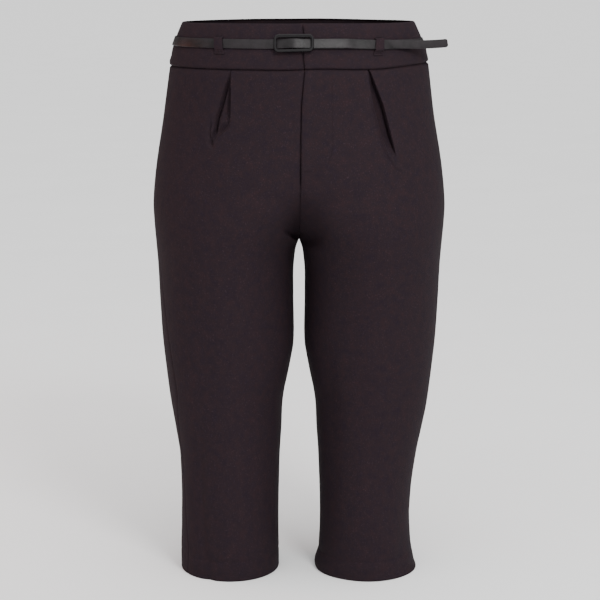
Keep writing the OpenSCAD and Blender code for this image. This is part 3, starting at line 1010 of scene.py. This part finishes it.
def add_node(tree, kind, values, links, **settings):
    """New shader node with its settings, its input values and the links into it."""
    node = tree.nodes.new("ShaderNode" + kind)
    for key, value in settings.items():
        setattr(node, key, value)
    for key, value in values.items():
        node.inputs[key].default_value = value
    for key, value in links.items():
        tree.links.new(value, node.inputs[key])
    return node


def noise_node(tree, place, scale, detail, roughness, stretch=None):
    if stretch:
        place = add_node(tree, "Mapping", {"Scale": stretch}, {"Vector": place}).outputs["Vector"]
    values = {"Scale": scale, "Detail": detail, "Roughness": roughness}
    return add_node(tree, "TexNoise", values, {"Vector": place}).outputs["Fac"]


def ramp_node(tree, value, stops):
    node = add_node(tree, "ValToRGB", {}, {"Fac": value})
    marks = node.color_ramp.elements
    for position, _ in stops[1:-1]:
        marks.new(position)
    for mark, (position, colour) in zip(marks, stops):
        mark.position = position
        mark.color = (*colour, 1)
    return node.outputs["Color"]


def blend_colours(tree, first, second, mode):
    links = {"A": first, "B": second}
    node = add_node(tree, "Mix", {"Factor": 1.0}, links, data_type="RGBA", blend_type=mode)
    return node.outputs["Result"]


def bump_node(tree, shader, height, distance, strength):
    node = add_node(tree, "Bump", {"Distance": distance, "Strength": strength}, {"Height": height})
    tree.links.new(node.outputs["Normal"], shader.inputs["Normal"])


def range_node(tree, value, low, high):
    return add_node(tree, "MapRange", {"To Min": low, "To Max": high}, {"Value": value}).outputs["Result"]


def add_values(tree, first, second, share):
    node = add_node(tree, "Math", {1: share}, {0: second, 2: first}, operation="MULTIPLY_ADD")
    return node.outputs["Value"]


def suiting(name, dark, light, weave=1.0):
    """Smooth wool-like cloth: mixed fibres, pale specks, uneven dye and a faint weave."""
    material, tree, shader, place = new_material(name)
    fibres = noise_node(tree, place, 900, 4, 0.7)
    fleck = noise_node(tree, place, 2600, 2, 0.6)
    slubs = noise_node(tree, place, 420, 3, 0.6, stretch=(0.6, 0.6, 1.0))
    patches = noise_node(tree, place, 90, 5, 0.75)
    mixed = add_values(tree, add_values(tree, fibres, fleck, 0.5), slubs, 1.4)
    colour = ramp_node(tree, range_node(tree, mixed, -0.95, 0.95), [(0.36, dark), (0.64, light)])
    bright = tuple(1.25 * part for part in light)
    specks = ramp_node(tree, noise_node(tree, place, 640, 3, 0.6), [(0.58, (0, 0, 0)), (0.74, bright)])
    colour = blend_colours(tree, colour, specks, "ADD")
    tint = ramp_node(
        tree,
        patches,
        [(0.34, (0.80, 0.82, 0.95)), (0.5, (0.96, 0.95, 0.96)), (0.66, (1.16, 1.02, 0.98))],
    )
    tree.links.new(blend_colours(tree, colour, tint, "MULTIPLY"), shader.inputs["Base Color"])
    warp = noise_node(tree, place, 1100, 2, 0.5, stretch=(1.0, 1.0, 0.25))
    weft = noise_node(tree, place, 1100, 2, 0.5, stretch=(0.25, 0.25, 1.0))
    woven = add_values(tree, add_values(tree, warp, weft, 1.0), fleck, 0.5)
    bump_node(tree, shader, woven, 0.00035 * weave, 0.55)
    tree.links.new(range_node(tree, fibres, 0.74, 0.92), shader.inputs["Roughness"])
    shader.inputs["Specular IOR Level"].default_value = 0.08
    return material


def leather(name, dark, light):
    """Worn smooth leather: patchy colour and gloss, with fine pores."""
    material, tree, shader, place = new_material(name)
    patches = noise_node(tree, place, 30, 6, 0.72)
    colour = ramp_node(tree, patches, [(0.38, dark), (0.62, light)])
    tree.links.new(colour, shader.inputs["Base Color"])
    cells = add_node(tree, "TexVoronoi", {"Scale": 1300}, {"Vector": place})
    pores = noise_node(tree, place, 420, 4, 0.6)
    grain = add_values(tree, cells.outputs["Distance"], pores, 0.9)
    bump_node(tree, shader, grain, 0.00025, 0.45)
    worn = add_values(tree, pores, patches, 1.0)
    tree.links.new(range_node(tree, worn, 0.05, 0.42), shader.inputs["Roughness"])
    shader.inputs["Specular IOR Level"].default_value = 0.23
    return material


def glossy(name, dark, light, metallic, low, high, coat, specular=0.5):
    """Smooth hard finish with fine wear in its gloss."""
    material, tree, shader, place = new_material(name)
    patches = noise_node(tree, place, 160, 5, 0.65)
    colour = ramp_node(tree, patches, [(0.35, dark), (0.75, light)])
    tree.links.new(colour, shader.inputs["Base Color"])
    scratches = noise_node(tree, place, 700, 3, 0.6, stretch=(1, 1, 0.15))
    tree.links.new(range_node(tree, scratches, low, high), shader.inputs["Roughness"])
    bump_node(tree, shader, patches, 0.0001, 0.25)
    gloss = {"Specular IOR Level": specular, "Coat Weight": coat, "Coat Roughness": 0.12}
    shader.inputs["Metallic"].default_value = metallic
    for key, value in gloss.items():
        shader.inputs[key].default_value = value
    return material


CLOTH_LOOK = suiting("suiting", (0.0040, 0.0024, 0.0032), (0.0150, 0.0093, 0.0121))
LINING_LOOK = suiting("lining_cloth", (0.0062, 0.0040, 0.0050), (0.0160, 0.0105, 0.0130), 0.6)
TAPE_LOOK = suiting("zip_tape_weave", (0.008, 0.006, 0.007), (0.020, 0.015, 0.017), 1.5)
THREAD_LOOK = suiting("thread", (0.0045, 0.003, 0.0035), (0.0125, 0.0085, 0.0105), 0.5)
BELT_LOOK = leather("belt_leather", (0.0026, 0.0019, 0.0023), (0.0125, 0.0096, 0.0112))
BUCKLE_LOOK = glossy("buckle_gloss", (0.003, 0.0024, 0.003), (0.005, 0.004, 0.005), 0.0, 0.10, 0.18, 0.0, 0.2)
METAL_LOOK = glossy("enamelled_metal", (0.05, 0.045, 0.048), (0.10, 0.09, 0.095), 0.7, 0.28, 0.45, 0.2)
TEETH_LOOK = glossy("nylon_teeth", (0.020, 0.017, 0.019), (0.045, 0.04, 0.043), 0.0, 0.40, 0.60, 0.0)


def place_piece(piece, look, replaced=(), body=ROOT):
    piece.data.materials.append(look)
    if body:
        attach(piece, body)
    if replaced:
        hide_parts(*replaced)
    return piece


# ---- Building the pieces ----

LOOKS = {"cloth": CLOTH_LOOK, "lining": LINING_LOOK, "zip_tape": TAPE_LOOK}

# Each cut: piece, slot, node it stands for, flat size in metres, flat area where the cut isn't a
# rectangle, and the piece it hangs from or lies on. The four panels hang, and the rest is sewn flat.
CUTS = [
    (front_panel(-1, "front_left"), "cloth", "front_panel_left", (0.345, 0.76), 0.200, "waistband_left"),
    (front_panel(1, "front_right"), "cloth", "front_panel_right", (0.345, 0.76), 0.198, "waistband_right"),
    (back_panel(-1, "back_left"), "cloth", "back_panel_left", (0.355, 0.76), 0.205, "waistband_rear"),
    (back_panel(1, "back_right"), "cloth", "back_panel_right", (0.355, 0.76), 0.205, "waistband_rear"),
    (waistband_front(-1, "waistband_left"), "cloth", "waistband_front_left", (0.24, 0.062), None, ""),
    (waistband_front(1, "waistband_right"), "cloth", "waistband_front_right", (0.23, 0.062), None, ""),
    (waistband_back("waistband_rear"), "cloth", "waistband_back", (0.45, 0.062), None, ""),
    (waist_facing("facing_left", -1, -0.1, -92, 90), "lining", "waist_facing_left", (0.225, 0.056), None,
     "waistband_left"),
    (waist_facing("facing_right", 1, -0.1, -86.5, 90), "lining", "waist_facing_right", (0.215, 0.056), None,
     "waistband_right"),
    (waist_facing("facing_rear", 1, 0.1, 179.9, 160), "lining", "waist_facing_back", (0.435, 0.056), None,
     "waistband_rear"),
    (front_patch("underlap_tab", -18, 46, 730, 780, lambda x: 3.8 + 5.7 * smooth(x, -5, 5), 1.2, 60),
     "cloth", "waist_tab", (0.066, 0.053), None, ""),
    (front_patch("fly_lining", 6.2, 40, 592, 727, lambda x: 2.2 + 0 * x, 0.5, 40),
     "lining", "fly_facing", (0.034, 0.135), None, "front_right"),
    (front_patch("fly_guard", -28, 44, 592, 727, lambda x: 2.6 + 11.2 * smooth(x, -17, -7), 0.9, 70),
     "lining", "fly_shield", (0.076, 0.135), None, "front_left"),
    (zip_tape("tape_left", -1), "zip_tape", "zip_tape_left", (0.012, 0.135), None, ""),
    (zip_tape("tape_right", 1), "zip_tape", "zip_tape_right", (0.012, 0.135), None, ""),
]
for piece, slot, node, flat, area, support in CUTS:
    place_piece(piece, LOOKS[slot], [node])

place_piece(belt_strap("strap"), BELT_LOOK, ["belt_strap"])
tail, tail_start, tail_end = belt_tail("strap_tail")
place_piece(tail, BELT_LOOK, ["belt_tail"], body=None)
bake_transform(tail)

# Plan angle of each loop, and the room it leaves for the strap's layers.
LOOPS = {
    "loop_front_left": (-180 - LOOP_ANGLE, 2.2),
    "loop_front_right": (LOOP_ANGLE, 3.8),
    "loop_side_left": (140, 2.2),
    "loop_side_right": (40, 2.2),
    "loop_back": (90, 2.2),
}
for node, (angle, room) in LOOPS.items():
    loop = place_piece(belt_loop(node.replace("loop", "carrier"), angle, room), CLOTH_LOOK, [node])

buckle_frame, buckle_bar = buckle("buckle_rim")
place_piece(buckle_frame, BUCKLE_LOOK, ["buckle"])
place_piece(buckle_bar, BUCKLE_LOOK)

place_piece(fly_stitches("fly_stitching"), THREAD_LOOK)
place_piece(loop_stitches("carrier_bartacks", [a for a, _ in LOOPS.values()]), THREAD_LOOK)

# Solids that show as they are, with their own looks.
HARD_NODES = (
    (TEETH_LOOK, ("zip_teeth_left", "zip_teeth_right")),
    (METAL_LOOK, ("zip_top_stops", "zip_bottom_stop", "zip_slider", "zip_pull", "waist_hook", "waist_bar")),
)
for look, nodes in HARD_NODES:
    for node in nodes:
        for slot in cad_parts[node].material_slots:
            slot.material = look


# ---- Floor, light and camera ----


def add_floor():
    mesh = bpy.data.meshes.new("floor")
    size = 60.0
    corners = ((-size, -size), (size, -size), (size, size), (-size, size))
    mesh.from_pydata([(x, y, -0.0005) for x, y in corners], [], [(0, 1, 2, 3)])
    floor = bpy.data.objects.new("floor", mesh)
    bpy.context.scene.collection.objects.link(floor)
    material, tree, shader, place = new_material("floor_paint")
    tone = ramp_node(tree, noise_node(tree, place, 3, 2, 0.55), [(0.3, [0.90] * 3), (0.7, [0.92] * 3)])
    tree.links.new(tone, shader.inputs["Base Color"])
    shader.inputs["Roughness"].default_value = 0.9
    mesh.materials.append(material)


def add_light(name, place, target, size, power, colour):
    data = bpy.data.lights.new(name, "AREA")
    data.shape = "RECTANGLE"
    data.size, data.size_y = size
    data.energy = power
    data.color = colour
    lamp = bpy.data.objects.new(name, data)
    lamp.location = place
    lamp.rotation_euler = (Vector(target) - Vector(place)).to_track_quat("-Z", "Y").to_euler()
    bpy.context.scene.collection.objects.link(lamp)


def add_world():
    """Studio light that is strongest overhead and in front, and weaker near the horizon."""
    world = bpy.data.worlds.new("studio")
    world.use_nodes = True
    tree = world.node_tree
    sky = tree.nodes["Background"]
    place = tree.nodes.new("ShaderNodeTexCoord")
    bright_from = {1: (0.10, -0.42, 0.90)}
    height = add_node(
        tree, "VectorMath", bright_from, {0: place.outputs["Generated"]}, operation="DOT_PRODUCT"
    )
    values = {"From Min": 0.1, "From Max": 0.9, "To Min": 0.2, "To Max": 2.2}
    strength = add_node(tree, "MapRange", values, {"Value": height.outputs["Value"]})
    tree.links.new(strength.outputs["Result"], sky.inputs["Strength"])
    sky.inputs["Color"].default_value = (1.0, 1.0, 1.0, 1)
    bpy.context.scene.world = world


def add_camera():
    data = bpy.data.cameras.new("camera")
    data.lens = 102.96
    data.sensor_width = 36
    camera = bpy.data.objects.new("camera", data)
    camera.location = (0.0014, -2.40, 0.864)
    camera.rotation_euler = (math.radians(90 - 11.06), 0, 0)
    bpy.context.scene.collection.objects.link(camera)
    bpy.context.scene.camera = camera


add_floor()
add_world()
middle = (0, 0, 0.45)
add_light("key", (1.1, -2.3, 2.5), middle, (0.8, 0.8), 64, (1.0, 0.985, 0.98))
add_light("warm_left", (-1.8, 0.5, 0.7), middle, (0.5, 1.4), 6, (1.0, 0.30, 0.20))
add_camera()
